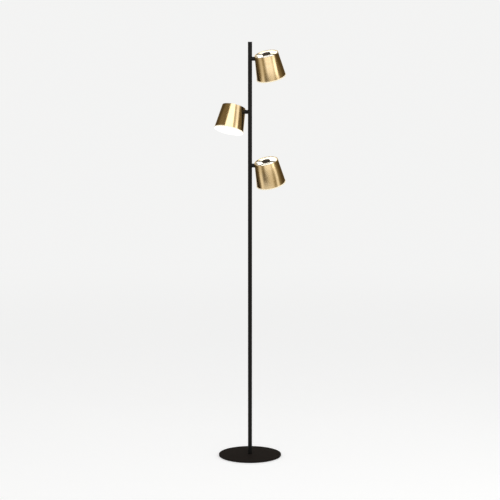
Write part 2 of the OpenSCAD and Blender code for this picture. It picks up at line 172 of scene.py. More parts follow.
def brushedBrass():
    # lacquered brass, brushed round the shade on a lathe, so its reflections run up and down
    s = brassLook
    material, w, shader = newFinish("brushedBrass", {
        "Metallic": 1.0, "Anisotropic": s["grain"], "Anisotropic Rotation": s["grainTurn"],
        "Coat Weight": s["lacquer"], "Coat Roughness": s["lacquerRough"]})
    place = ownPlace(w)
    strokes = w.noise(w.stretch(place, s["strokes"]), **fineNoise)
    passes = w.noise(w.stretch(place, s["passes"]))
    clouds = w.noise(place, s["clouds"], detail=3.0)
    tone = strokes * s["strokeTone"] + passes * s["passTone"] + clouds * s["cloudTone"]
    tone = w.band(tone, s["toneFrom"], s["toneTo"])
    w.plug(shader["Base Color"], w.mix(tone, s["deep"], s["light"]))
    w.plug(shader["Roughness"],
           s["rough"] + strokes.swing(s["strokeRough"]) + clouds.swing(s["cloudRough"]))
    relief = strokes * s["strokeRelief"] + passes * s["passRelief"]
    w.plug(shader["Normal"], w.bump(relief, s["reliefLevel"], s["relief"]))
    return material


# glow, near, deep and depth give the painted glow: its strength, its colour at the rim and deeper down, and how
# far down it brightens
insideLacquerAndPaintedGlowLook = {"dark": (0.90, 0.885, 0.85), "light": (0.94, 0.93, 0.90), "mottle": 900.0,
              "glow": 0.55, "near": (0.86, 0.80, 0.66), "deep": (1.0, 0.97, 0.88), "depth": 0.06,
              "rough": 0.38, "reliefLevel": 0.2, "relief": 0.02 * mm}


def whiteLacquerAndPaintedGlow():
    # the white lacquered inside of a shade, with a painted glow that stands in for the light inside it, brighter
    # deeper down towards the light
    s = insideLacquerAndPaintedGlowLook
    material, w, shader = newFinish("whiteLacquerAndPaintedGlow",
                                    {"Roughness": s["rough"], "Emission Strength": s["glow"]})
    place = ownPlace(w)
    mottle = w.noise(place, s["mottle"])
    height = w.node("ShaderNodeSeparateXYZ", None, {0: place}, out="Z")
    w.plug(shader["Base Color"], w.mix(mottle, s["dark"], s["light"]))
    # painted glow: the emission brightens from the rim down the shade
    down = w.band(height * -1, 0.0, s["depth"])
    w.plug(shader["Emission Color"], w.mix(down, s["near"], s["deep"]))
    w.plug(shader["Normal"], w.bump(mottle, s["reliefLevel"], s["relief"]))
    return material


coatLook = {"patches": 22.0, "grainTone": 0.5, "patchTone": 0.5, "grainRough": 0.14,
            "patchRough": 0.08, "reliefLevel": 0.35, "relief": 0.05 * mm}
poleLook = {"dark": (0.0060, 0.0055, 0.0050), "light": (0.0105, 0.0096, 0.0088), "rough": 0.38,
            "grain": 2400, "gloss": 0.13}
spiderLook = {"dark": (0.024, 0.016, 0.010), "light": (0.036, 0.025, 0.016), "rough": 0.5,
              "grain": 2400, "gloss": 0.15}
baseLook = {"dark": (0.0125, 0.0095, 0.0080), "light": (0.0195, 0.0150, 0.0128), "rough": 0.85,
            "grain": 1500, "gloss": 0.05}


def powderCoat(name, look):
    # fine-textured dark paint: what the three have in common, and the look of one
    s = {**coatLook, **look}
    material, w, shader = newFinish(name, {"Specular IOR Level": s["gloss"]})
    place = objectPlace(w)
    grain = w.noise(place, s["grain"], **fineNoise)
    patches = w.noise(place, s["patches"])
    tone = grain * s["grainTone"] + patches * s["patchTone"]
    w.plug(shader["Base Color"], w.mix(tone, s["dark"], s["light"]))
    w.plug(shader["Roughness"],
           s["rough"] + grain.swing(s["grainRough"]) + patches.swing(s["patchRough"]))
    w.plug(shader["Normal"], w.bump(grain, s["reliefLevel"], s["relief"]))
    return material


# the lip begins between two distances from the axis, and wanders a little
opalLook = {"plastic": (0.96, 0.955, 0.93), "plasticLip": (0.90, 0.84, 0.68),
            "glow": 0.95, "face": (1.0, 0.985, 0.93), "lip": (0.30, 0.245, 0.14),
            "lipFrom": 48.6 * mm, "lipTo": 50.2 * mm, "lipWander": 0.6 * mm, "clouds": 60.0,
            "pores": 1800.0, "rough": 0.32, "reliefLevel": 0.15, "relief": 0.02 * mm}


def opalPlastic():
    # the diffuser, lit from inside, and warmer and dimmer where its lip is thick
    s = opalLook
    material, w, shader = newFinish("opalPlastic",
                                    {"Roughness": s["rough"], "Emission Strength": s["glow"]})
    place = ownPlace(w)
    clouds = w.noise(place, s["clouds"])
    lip = w.band(w.reach(place) + clouds.swing(s["lipWander"]), s["lipFrom"], s["lipTo"])
    w.plug(shader["Base Color"], w.mix(lip, s["plastic"], s["plasticLip"]))
    w.plug(shader["Emission Color"], w.mix(lip, s["face"], s["lip"]))
    w.plug(shader["Normal"], w.bump(w.noise(place, s["pores"]), s["reliefLevel"], s["relief"]))
    return material


steelLook = {"dark": (0.50, 0.51, 0.53), "light": (0.72, 0.73, 0.75), "marks": (3600, 420, 420),
             "clouds": 160.0, "cloudDetail": 3.0, "markTone": 0.5, "cloudTone": 0.5,
             "rough": 0.34, "markRough": 0.2, "reliefLevel": 0.3, "relief": 0.02 * mm}
aluminiumLook = {"dark": (0.66, 0.67, 0.68), "light": (0.86, 0.865, 0.87), "marks": (70, 70, 3800),
                 "clouds": 120.0, "cloudDetail": 2.0, "markTone": 0.6, "cloudTone": 0.4,
                 "rough": 0.3, "markRough": 0.22, "reliefLevel": 0.4, "relief": 0.03 * mm}


def toolMarked(name, look, findPlace):
    # bare metal with the fine marks of rolling or turning
    material, w, shader = newFinish(name, {"Metallic": 1.0})
    place = findPlace(w)
    marks = w.noise(w.stretch(place, look["marks"]), **fineNoise)
    clouds = w.noise(place, look["clouds"], detail=look["cloudDetail"])
    tone = marks * look["markTone"] + clouds * look["cloudTone"]
    w.plug(shader["Base Color"], w.mix(tone, look["dark"], look["light"]))
    w.plug(shader["Roughness"], look["rough"] + marks.swing(look["markRough"]))
    w.plug(shader["Normal"], w.bump(marks, look["reliefLevel"], look["relief"]))
    return material


boardLook = {"resist": (0.86, 0.87, 0.85), "track": (0.72, 0.76, 0.70), "rings": 2600.0,
             "trackFrom": 0.55, "trackTo": 0.85, "rough": 0.35, "reliefLevel": 0.4,
             "relief": 0.04 * mm}


def boardResist():
    # white solder resist with faint rings of copper track under it
    s = boardLook
    material, w, shader = newFinish("boardResist", {"Roughness": s["rough"]})
    waves = w.maths("SINE", w.reach(ownPlace(w)) * s["rings"])
    tracks = w.band(waves, s["trackFrom"], s["trackTo"])
    w.plug(shader["Base Color"], w.mix(tracks, s["resist"], s["track"]))
    w.plug(shader["Normal"], w.bump(tracks, s["reliefLevel"], s["relief"]))
    return material


phosphorLook = {"dark": (0.90, 0.70, 0.16), "light": (0.98, 0.84, 0.32), "grain": 5200.0,
                "glow": 2.2, "dim": (1.0, 0.86, 0.55), "bright": (1.0, 0.93, 0.72), "rough": 0.5}


def phosphor():
    # the yellow face of the light source
    s = phosphorLook
    material, w, shader = newFinish("phosphor",
                                    {"Roughness": s["rough"], "Emission Strength": s["glow"]})
    grain = w.noise(ownPlace(w), s["grain"])
    w.plug(shader["Base Color"], w.mix(grain, s["dark"], s["light"]))
    w.plug(shader["Emission Color"], w.mix(grain, s["dim"], s["bright"]))
    return material


softCommon = {"gloss": 0.35, "speckDetail": 3.0, "speckSharp": 0.65, "speckRough": 0.12,
              "reliefLevel": 0.4, "relief": 0.04 * mm}
softLooks = {
    "pad": {"name": "padFoam", "dark": (0.016, 0.016, 0.017), "light": (0.034, 0.034, 0.036),
            "rough": 0.86, "speck": 2600},
    "gland": {"name": "glandRubber", "dark": (0.010, 0.010, 0.010), "light": (0.020, 0.020, 0.020),
              "rough": 0.62, "speck": 1800},
    "cable": {"name": "cableSheath", "dark": (0.020, 0.020, 0.021), "light": (0.035, 0.035, 0.037),
              "rough": 0.45, "speck": 1400},
    "friction_plastic": {"name": "washerNylon", "dark": (0.012, 0.012, 0.012),
                         "light": (0.024, 0.024, 0.024), "rough": 0.40, "speck": 2200},
}


def softBlack(look):
    # foam, rubber, cable sheath and nylon
    s = {**softCommon, **look}
    material, w, shader = newFinish(s["name"], {"Specular IOR Level": s["gloss"]})
    speck = w.noise(objectPlace(w), s["speck"], s["speckDetail"], s["speckSharp"])
    w.plug(shader["Base Color"], w.mix(speck, s["dark"], s["light"]))
    w.plug(shader["Roughness"], s["rough"] + speck.swing(s["speckRough"]))
    w.plug(shader["Normal"], w.bump(speck, s["reliefLevel"], s["relief"]))
    return material


finishes = {
    "brass": brushedBrass(),
    "inside": whiteLacquerAndPaintedGlow(),
    "pole_black": powderCoat("poleBlack", poleLook),
    "inner_black": powderCoat("spiderBlack", spiderLook),
    "base_black": powderCoat("baseBlack", baseLook),
    "opal": opalPlastic(),
    "steel": toolMarked("zincSteel", steelLook, objectPlace),
    "aluminium": toolMarked("turnedAluminium", aluminiumLook, ownPlace),
    "board_white": boardResist(),
    "led_chip": phosphor(),
    **{slotName: softBlack(look) for slotName, look in softLooks.items()},
}
print("finishes made:", len(finishes))

# how many sides a round piece has, from the shades down to a screw's hole, and for a nut
sides = {"wide": 192, "disc": 160, "round": 96, "small": 64, "tiny": 48, "pin": 32, "nut": 6}
# how near points are merged after a spin, a bevel and a cut, and angles in degrees
meshSet = {"spinWeld": 0.002 * mm, "bevelWeld": 0.004 * mm, "cutWeld": 0.02 * mm,
           "bevelAngle": 35, "smoothAngle": 32, "arcSteps": 6}


def pickOnly(piece):
    if bpy.context.object and bpy.context.object.mode != "OBJECT":
        bpy.ops.object.mode_set(mode="OBJECT")
    bpy.ops.object.select_all(action="DESELECT")
    if piece:
        piece.select_set(True)
        bpy.context.view_layer.objects.active = piece


def added(name):
    # what was just added, under its own name
    piece = bpy.context.object
    piece.name = piece.data.name = name
    return piece


def arc(r, z, radius, start, stop):
    # a rounded corner of an outline, as points round a centre
    steps = meshSet["arcSteps"]
    angles = [math.radians(start + (stop - start) * k / steps) for k in range(steps + 1)]
    return [(r + radius * math.cos(a), z + radius * math.sin(a)) for a in angles]


def turned(name, outline, steps=sides["round"]):
    # an outline of (radius, height) points, extruded from one vertex and spun round Z
    pickOnly(None)
    bpy.ops.mesh.primitive_plane_add(size=mm)
    piece = added(name)
    bpy.ops.object.mode_set(mode="EDIT")
    bpy.ops.mesh.select_mode(type="VERT")
    bpy.ops.mesh.select_all(action="SELECT")
    bpy.ops.mesh.merge(type="CENTER")
    bpy.ops.transform.translate(value=(outline[0][0], 0, outline[0][1]))
    for (r, z), (nextR, nextZ) in zip(outline, outline[1:]):
        bpy.ops.mesh.extrude_region_move(
            TRANSFORM_OT_translate={"value": (nextR - r, 0, nextZ - z)})
    bpy.ops.mesh.select_all(action="SELECT")
    bpy.ops.mesh.spin(steps=steps, angle=math.tau, center=(0, 0, 0), axis=(0, 0, 1))
    bpy.ops.mesh.select_all(action="SELECT")
    bpy.ops.mesh.remove_doubles(threshold=meshSet["spinWeld"])
    bpy.ops.mesh.normals_make_consistent(inside=False)
    bpy.ops.object.mode_set(mode="OBJECT")
    return piece


def rod(name, radius, low, high, steps=sides["round"]):
    return turned(name, [(0, low), (radius, low), (radius, high), (0, high)], steps)


def ring(name, radius, bore, low, high, steps=sides["round"]):
    outline = [(bore, low), (radius, low), (radius, high), (bore, high), (bore, low)]
    return turned(name, outline, steps)


def block(name, low, high):
    pickOnly(None)
    low, high = Vector(low), Vector(high)
    bpy.ops.mesh.primitive_cube_add(size=1, location=(low + high) / 2)
    piece = added(name)
    piece.scale = high - low
    bpy.ops.object.transform_apply(location=True, rotation=True, scale=True)
    return piece


def modify(piece, kind, **settings):
    pickOnly(piece)
    modifier = piece.modifiers.new(kind.lower(), kind)
    for key, value in settings.items():
        setattr(modifier, key, value)
    bpy.ops.object.modifier_apply(modifier=modifier.name)
    return piece


def welded(piece, near=meshSet["bevelWeld"]):
    # points closer than this become one, and the slivers between them go
    pickOnly(piece)
    bpy.ops.object.mode_set(mode="EDIT")
    bpy.ops.mesh.select_mode(type="VERT")
    bpy.ops.mesh.select_all(action="SELECT")
    bpy.ops.mesh.remove_doubles(threshold=near)
    bpy.ops.mesh.dissolve_degenerate(threshold=near / 4)
    bpy.ops.object.mode_set(mode="OBJECT")
    return piece


def soften(piece, width, segments=3, angle=meshSet["bevelAngle"]):
    return welded(modify(piece, "BEVEL", width=width, segments=segments, limit_method="ANGLE",
                         angle_limit=math.radians(angle)))


def combine(piece, other, operation="DIFFERENCE"):
    # cuts or joins, and the second piece goes
    modify(piece, "BOOLEAN", object=other, operation=operation, solver="EXACT")
    bpy.data.objects.remove(other)
    return welded(piece, meshSet["cutWeld"])


def moved(piece, matrix):
    piece.data.transform(matrix)
    return piece


def copyTo(piece, name, matrix):
    # a copy with its own mesh, put in place through its mesh
    made = piece.copy()
    made.data = piece.data.copy()
    made.name = made.data.name = name
    bpy.context.scene.collection.objects.link(made)
    return moved(made, matrix)


def finish(piece, names, choose=None):
    # one finish, or several with a rule that picks one for each face
    names = [names] if isinstance(names, str) else names
    piece.data.materials.clear()
    for name in names:
        piece.data.materials.append(finishes[name])
    if choose:
        for face in piece.data.polygons:
            face.material_index = choose(face)
    return piece


def install(piece, body, node):
    pickOnly(piece)
    bpy.ops.object.shade_smooth_by_angle(angle=math.radians(meshSet["smoothAngle"]))
    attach(piece, body)
    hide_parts(node)


# a turned piece's axis goes from Z to X or Y
alongX = Matrix.Rotation(math.radians(90), 4, "Y")
alongY = Matrix.Rotation(math.radians(-90), 4, "X")

# the stand: radii and edges in metres, heights from the frame
baseSet = {"padEdge": 0.4 * mm, "plateEdge": 0.8 * mm, "stud": 4.05 * mm, "studHead": 9.05 * mm,
           "studHeadDepth": 2 * mm}


def makeBase():
    s = baseSet
    low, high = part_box("base_pad")
    pad = soften(rod("basePad", high.x, low.z, high.z, sides["disc"]), s["padEdge"])
    install(finish(pad, "pad"), "stand", "base_pad")
    low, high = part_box("base_plate")
    e, step = s["plateEdge"], low.z + s["studHeadDepth"]
    outline = [(s["stud"], step), (s["studHead"], step), (s["studHead"], low.z)]
    outline += arc(high.x - e, low.z + e, e, -90, 0) + arc(high.x - e, high.z - e, e, 0, 90)
    outline += [(s["stud"], high.z), (s["stud"], step)]
    plate = turned("basePlate", outline, sides["wide"])
    install(finish(plate, "base_black"), "stand", "base_plate")


poleSet = {"radius": 7.0 * mm, "wall": 1.2 * mm, "endChamfer": 0.3 * mm, "capEdge": 0.35 * mm,
           "wireHole": 4.0 * mm, "fit": 0.05 * mm}
poleSpace = poleSet["radius"] + poleSet["fit"]
glandSet = {"bore": 2.6 * mm, "neck": 3.4 * mm, "flange": 4.3 * mm, "inside": 4.8 * mm,
            "neckStop": 1 * mm, "edge": 0.4 * mm}
glandLow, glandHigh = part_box("cable_gland")
atGland = Matrix.Translation((0, 0, (glandLow.z + glandHigh.z) / 2)) @ alongY


def armFrame(head):
    # an arm's own frame: +X along the arm, from the pole's axis
    joint = joints[head + "_head"]
    facing = math.pi if joint["axis"][0] < 0 else 0.0
    return Matrix.Translation((0, 0, joint["pos_m"][2])) @ Matrix.Rotation(facing, 4, "Z")


def makePole():
    s = poleSet
    r, bore, chamfer = s["radius"], s["radius"] - s["wall"], s["endChamfer"]
    for name, node in (("lowerPole", "lower_pole"), ("upperPole", "upper_pole")):
        low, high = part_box(node)
        # the two sections are chamfered where they meet
        foot, crown = (0, chamfer) if node == "lower_pole" else (chamfer, 0)
        tube = turned(name, [(bore, low.z), (r - foot, low.z), (r, low.z + foot),
                             (r, high.z - crown), (r - crown, high.z), (bore, high.z),
                             (bore, low.z)])
        if node == "lower_pole":
            hole = rod("hole", glandSet["neck"] + s["fit"], 0, 2 * r, sides["tiny"])
            combine(tube, moved(hole, atGland))
        else:
            for head in heads:
                hole = rod("hole", s["wireHole"], 0, 2 * r, sides["tiny"])
                combine(tube, moved(hole, armFrame(head) @ alongX))
        install(finish(tube, "pole_black"), "stand", node)
    low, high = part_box("pole_cap")
    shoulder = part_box("upper_pole")[1].z
    shank = bore - s["fit"]
    cap = turned("poleCap", [(0, low.z), (shank, low.z), (shank, shoulder), (r, shoulder),
                             (r, high.z), (0, high.z)])
    install(finish(soften(cap, s["capEdge"]), "pole_black"), "stand", "pole_cap")


def makeGland():
    s, reach = glandSet, glandHigh.y
    gland = soften(ring("cableGland", s["flange"], s["bore"], 0, reach, sides["small"]), s["edge"])
    moved(gland, atGland)
    combine(gland, rod("poleSpace", poleSpace, glandLow.z - spare, glandHigh.z + spare))
    neck = ring("neck", s["neck"], s["bore"], s["inside"], reach - s["neckStop"], sides["small"])
    combine(gland, moved(neck, atGland), "UNION")
    install(finish(gland, "gland"), "stand", "cable_gland")


makeCamera()
makeBase()
makePole()
makeGland()
print("stand made")

# stations along an arm, from the frame, and the radii that go with them. The crown of a nut is
# given as shares of its width over the flats
swivelSet = {"armRadius": 6.75 * mm, "armEdge": 0.35 * mm, "gap": 0.2 * mm, "nipple": 5.0 * mm,
             "nippleBore": 3.0 * mm, "nippleIn": 6 * mm, "thread": 1.0 * mm,
             "threadFit": 0.05 * mm, "turnFit": 0.06 * mm, "frictionEdge": 0.15 * mm,
             "spigot": 6.0 * mm, "washer": 8.0 * mm, "washerEdge": 0.12 * mm,
             "stopWidth": 2.2 * mm, "stopReach": 10.45 * mm, "slit": 0.4 * mm,
             "nutFlats": 14 * mm, "crownFlat": 0.49, "crownCorner": 0.59, "crownRise": 1 * mm}
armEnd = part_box("top_arm")[1].x
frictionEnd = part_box("friction_washers")[1].x
collarAt, saddleAt = (corner.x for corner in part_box("top_swivel_collar"))
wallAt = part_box("top_shade")[0].x
stopAt = saddleAt + swivelSet["gap"]
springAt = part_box("stop_washers")[1].x
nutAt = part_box("spring_washers")[1].x
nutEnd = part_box("lock_nuts")[1].x
nippleAt, nippleEnd = armEnd - swivelSet["nippleIn"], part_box("swivel_nipples")[1].x
threadBore = swivelSet["nipple"] + swivelSet["threadFit"]


def onEachArm(piece, name, slotName, node):
    # the pattern goes once each arm has its copy
    finish(piece, slotName)
    for head in heads:
        made = copyTo(piece, head + name, armFrame(head))
        install(made, "stand", node.replace("*", head))
    bpy.data.objects.remove(piece)


# a thread's ridge, as shares of its pitch: how deep its root and crest lie, and the crest's flat
ridgeShape = {"root": 0.55, "crest": 0.06, "flatFrom": 0.42, "flatTo": 0.58}


def threadedTube(name, radius, bore, low, high, pitch):
    # a tube whose outside is a run of thread ridges
    s = ridgeShape
    root, crest = radius - s["root"] * pitch, radius - s["crest"] * pitch
    outline = [(bore, low), (root, low)]
    z = low
    while z + pitch <= high:
        outline += [(crest, z + s["flatFrom"] * pitch), (crest, z + s["flatTo"] * pitch),
                    (root, z + pitch)]
        z += pitch
    return turned(name, outline + [(root, high), (bore, high), (bore, low)], sides["small"])


def makeArms():
    s, reach = swivelSet, 2 * swivelSet["armRadius"]
    arm = soften(ring("arm", s["armRadius"], threadBore, 0, armEnd), s["armEdge"])
    combine(moved(arm, alongX), rod("poleSpace", poleSpace, -reach, reach))
    onEachArm(arm, "Arm", "pole_black", "*_arm")
    friction = ring("friction", s["armRadius"], threadBore, armEnd, frictionEnd)
    moved(soften(friction, s["frictionEdge"], segments=2), alongX)
    onEachArm(friction, "FrictionWasher", "friction_plastic", "friction_washers")
    nipple = threadedTube("nipple", s["nipple"], s["nippleBore"], nippleAt, nippleEnd, s["thread"])
    onEachArm(moved(nipple, alongX), "SwivelNipple", "steel", "swivel_nipples")


def makeWashers():
    s, half, edge = swivelSet, swivelSet["stopWidth"] / 2, swivelSet["washerEdge"]
    stop = moved(rod("stop", s["washer"], stopAt, springAt), alongX)
    combine(stop, block("tab", (stopAt, -half, 0), (springAt, half, s["stopReach"])), "UNION")
    combine(stop, moved(rod("hole", threadBore, stopAt - spare, springAt + spare), alongX))
    onEachArm(soften(stop, edge, segments=2), "StopWasher", "steel", "stop_washers")
    spring = soften(ring("spring", s["washer"], threadBore, springAt, nutAt), edge, segments=2)
    combine(moved(spring, alongX), block("slit", (springAt - spare, -s["slit"], 0),
                                         (nutAt + spare, s["slit"], 2 * s["washer"])))
    onEachArm(spring, "SpringWasher", "steel", "spring_washers")


def makeNuts():
    # a hexagon, 30 degrees from flat to corner, whose corners a turned crown rounds off
    s, flats, rise = swivelSet, swivelSet["nutFlats"], swivelSet["crownRise"]
    nut = rod("nut", flats / 2 / math.cos(math.radians(30)), nutAt, nutEnd, sides["nut"])
    flat, corner = flats * s["crownFlat"], flats * s["crownCorner"]
    combine(nut, turned("crown", [(0, nutAt), (flat, nutAt), (corner, nutAt + rise),
                                  (corner, nutEnd - rise), (flat, nutEnd), (0, nutEnd)]),
            "INTERSECT")
    combine(nut, rod("hole", threadBore, nutAt - spare, nutEnd + spare, sides["small"]))
    soften(nut, s["washerEdge"], segments=2, angle=25)
    onEachArm(moved(nut, alongX), "LockNut", "steel", "lock_nuts")


makeArms()
makeWashers()
makeNuts()
print("arms and swivels made")

# a head: the shade's frame has its origin at the rim's centre and -Z down the shade. The hole
# for the swivel is cut from outside the wall to inside it, and a face that looks inwards by
# more than the last number is painted white
headSet = {"lean": 20.0, "hingeDrop": 17 * mm, "rim": 40.25 * mm, "edge": 49.5 * mm,
           "height": 81 * mm, "wall": 1.0 * mm, "fit": 0.05 * mm, "rimEdge": 0.3 * mm,
           "holeOut": 2 * mm, "holeIn": 4 * mm, "inwards": -0.6}
slope = (headSet["edge"] - headSet["rim"]) / headSet["height"]
halfCone = math.atan(slope)


def coneRadius(depth):
    return headSet["rim"] + slope * depth


hingeOut = wallAt + coneRadius(headSet["hingeDrop"]) * math.cos(halfCone)
inShade = (Matrix.Translation((hingeOut, 0, 0)) @ Matrix.Rotation(-halfCone, 4, "Y")
           @ Matrix.Translation((0, 0, headSet["hingeDrop"])))
outOfShade = inShade.inverted()
lean = Matrix.Rotation(math.radians(headSet["lean"]), 4, "X")


def onEachHead(piece, name, node, own=inShade):
    # a pattern made in the shade's frame, copied to the three heads
    mesh = piece.data
    kept = mesh.attributes.new("own", "FLOAT_VECTOR", "POINT")
    for k, vertex in enumerate(mesh.vertices):
        kept.data[k].vector = vertex.co
    for head in heads:
        made = copyTo(piece, head + name, armFrame(head) @ lean @ own)
        install(made, head + "_head", head + node)
    bpy.data.objects.remove(piece)


def makeShade():
    h, rim, edge, foot = headSet, coneRadius(0), headSet["edge"], -headSet["height"]
    shell = turned("shade", [(rim, 0), (rim - h["wall"], 0), (edge - h["wall"], foot),
                             (edge, foot), (rim, 0)], sides["wide"])
    soften(shell, h["rimEdge"], angle=60)
    hole = rod("hole", swivelSet["spigot"] + h["fit"], wallAt - h["holeOut"],
               wallAt + h["holeIn"], sides["small"])
    combine(shell, moved(hole, outOfShade @ alongX))

    def insideOrOut(face):
        outward = Vector((face.center.x, face.center.y, 0)).normalized()
        return 1 if face.normal.dot(outward) < h["inwards"] else 0
    onEachHead(finish(shell, ["brass", "inside"], insideOrOut), "Shade", "_shade")


diffuserSet = {"lip": 3 * mm, "proud": 1 * mm, "round": 1 * mm, "ringHeight": 5 * mm,
               "ringWall": 1.6 * mm}


def makeDiffuser():
    # a disc with a rounded lip below the shade, and a ring that sits inside it
    h, s = headSet, diffuserSet
    z, e = -h["height"], s["round"]
    outer = h["edge"] + s["proud"]
    ringR = h["edge"] - h["wall"] - h["fit"]
    ringTop, ringEnd = ringR - slope * s["ringHeight"], z + s["ringHeight"]
    outline = [(0, z - s["lip"])]
    outline += arc(outer - e, z - s["lip"] + e, e, -90, 0) + arc(outer - e, z - e, e, 0, 90)
    outline += [(ringR, z), (ringTop, ringEnd), (ringTop - s["ringWall"], ringEnd),
                (ringR - s["ringWall"], z), (0, z)]
    diffuser = turned("diffuser", outline, sides["wide"])
    onEachHead(finish(diffuser, "opal"), "Diffuser", "_diffuser")


spiderSet = {"sheet": 1.5 * mm, "ring": 3 * mm, "bar": 7 * mm, "turn": 17.0, "tab": 4.5 * mm,
             "hub": 14 * mm, "screwHole": 1.55 * mm, "edge": 0.2 * mm}
inBar = Matrix.Rotation(-math.radians(spiderSet["turn"]), 4, "Z")


def makeSpider():
    # a disc with two windows, so that a ring, a bar and a round middle stay, and a tab at each end
    # of the bar. The cutters stand out past the sheet by whole sheets
    h, s = headSet, spiderSet
    wall, t, half = h["wall"] + h["fit"], s["sheet"], s["bar"] / 2
    outer, far = coneRadius(0) - wall, h["edge"]
    windows = rod("windows", outer - s["ring"], -2 * t, t, sides["disc"])
    combine(windows, block("bar", (-far, -half, -3 * t), (far, half, 2 * t)))
    combine(windows, rod("middle", s["hub"], -3 * t, 2 * t))
    spider = combine(rod("spider", outer, -t, 0, sides["disc"]), windows)
    high, low = coneRadius(t / 2) - wall, coneRadius(s["tab"]) - wall
    tabs = turned("tabs", [(outer - t, -t / 2), (high, -t / 2), (low, -s["tab"]),
                           (low - t, -s["tab"]), (outer - t, -t / 2)], sides["disc"])
    combine(tabs, block("bar", (-far, -half, -far), (far, half, far)), "INTERSECT")
    combine(spider, tabs, "UNION")
    combine(spider, rod("hole", s["screwHole"], -2 * t, t, sides["pin"]))
    soften(spider, s["edge"], segments=2, angle=40)

    def barOrRing(face):
        # the bar is dark, and the ring is brass like the rim that it sits in
        onRing = Vector(face.center[:2]).length > outer - s["ring"] - s["edge"]
        return 1 if onRing and abs(face.center.y) > half + s["edge"] else 0
    moved(finish(spider, ["inner_black", "brass"], barOrRing), inBar)
    onEachHead(spider, "SpiderRing", "_spider_ring")


hubSet = {"height": 2.4 * mm, "chamfer": 0.6 * mm, "edge": 0.2 * mm, "grooveAt": 9.5 * mm,
          "grooveWidth": 0.5 * mm, "grooveDepth": 0.25 * mm}


def makeHubCap():
    s, hub, top = hubSet, spiderSet["hub"], hubSet["height"]
    at, wide = s["grooveAt"], s["grooveWidth"]
    cap = turned("hubCap", [(0, 0), (hub, 0), (hub, top - s["chamfer"]), (hub - s["chamfer"], top),
                            (at + wide, top), (at, top - s["grooveDepth"]), (at - wide, top),
                            (0, top)])
    soften(cap, s["edge"], segments=2, angle=30)
    onEachHead(finish(cap, "inner_black"), "HubCap", "_hub_cap")


sinkSet = {"radius": 13.5 * mm, "height": 15.5 * mm, "groove": 1.2 * mm, "depth": 2.5 * mm,
           "firstGroove": 1 * mm, "pitch": 2.6 * mm, "edge": 0.15 * mm}


def makeHeatSink():
    # two grooves near the top and one near the foot, and a plain band for the lead between them
    s, top, r = sinkSet, -spiderSet["sheet"], sinkSet["radius"]
    first, deep = s["firstGroove"], r - s["depth"]
    outline = [(0, top), (r, top)]
    for g in (first, first + s["pitch"], s["height"] - first - s["groove"]):
        outline += [(r, top - g), (deep, top - g), (deep, top - g - s["groove"]),
                    (r, top - g - s["groove"])]
    outline += [(r, top - s["height"]), (0, top - s["height"])]
    sink = soften(turned("heatSink", outline), s["edge"], segments=2)
    onEachHead(finish(sink, "aluminium"), "HeatSink", "_heat_sink")


# the board, its chip and its two screws. The last line gives the pan head's shape, as shares of
# its radius and its height
ledSet = {"board": 12 * mm, "thick": 1.6 * mm, "boardEdge": 0.12 * mm, "chip": 5.5 * mm,
          "chipThick": 0.9 * mm, "frame": 0.6 * mm, "dish": 0.25 * mm, "screwOut": 8.8 * mm,
          "screw": 1.2 * mm, "screwLength": 4 * mm, "screwEdge": 0.08 * mm,
          "panRadius": 2.16 * mm, "panHeight": 1.32 * mm, "cross": 0.28 * mm,
          "shoulder": 0.5, "domeOut": 0.72, "domeDown": 0.88, "crossOut": 0.62, "crossFrom": 0.55}
boardTop = -spiderSet["sheet"] - sinkSet["height"]
boardFoot = boardTop - ledSet["thick"]


def makeLed():
    s = ledSet
    board = soften(rod("board", s["board"], boardFoot, boardTop), s["boardEdge"], segments=2)
    onEachHead(finish(board, "board_white"), "LedBoard", "_led_board")
    dam, low = s["chip"] - s["frame"], boardFoot - s["chipThick"]
    chip = turned("chip", [(0, boardFoot), (s["chip"], boardFoot), (s["chip"], low), (dam, low),
                           (dam, low + s["dish"]), (0, low + s["dish"])])

    def damOrPhosphor(face):
        return 1 if Vector(face.center[:2]).length > dam - s["boardEdge"] else 0
    finish(chip, ["led_chip", "board_white"], damOrPhosphor)
    onEachHead(chip, "LedChip", "_led_chip")


def makeBoardScrews():
    s, pan, tall = ledSet, ledSet["panRadius"], ledSet["panHeight"]
    tip, shank, foot = boardTop + s["screwLength"], s["screw"], boardFoot
    screw = turned("screw", [(0, tip), (shank, tip), (shank, foot), (pan, foot),
                             (pan, foot - s["shoulder"] * tall),
                             (s["domeOut"] * pan, foot - s["domeDown"] * tall),
                             (0, foot - tall)], sides["tiny"])
    soften(screw, s["screwEdge"], segments=2)
    arm = s["crossOut"] * pan
    for wide, deep in ((arm, s["cross"]), (s["cross"], arm)):
        combine(screw, block("cross", (-wide, -deep, foot - 2 * tall),
                             (wide, deep, foot - s["crossFrom"] * tall)))
    other = copyTo(screw, "other", inBar @ Matrix.Translation((0, s["screwOut"], 0)))
    moved(screw, inBar @ Matrix.Translation((0, -s["screwOut"], 0)))
    pickOnly(screw)
    other.select_set(True)
    bpy.ops.object.join()
    onEachHead(finish(screw, "steel"), "BoardScrews", "_board_screws")


collarSet = {"into": 1.5 * mm, "edge": 0.25 * mm, "spigotFrom": 0.4 * mm}


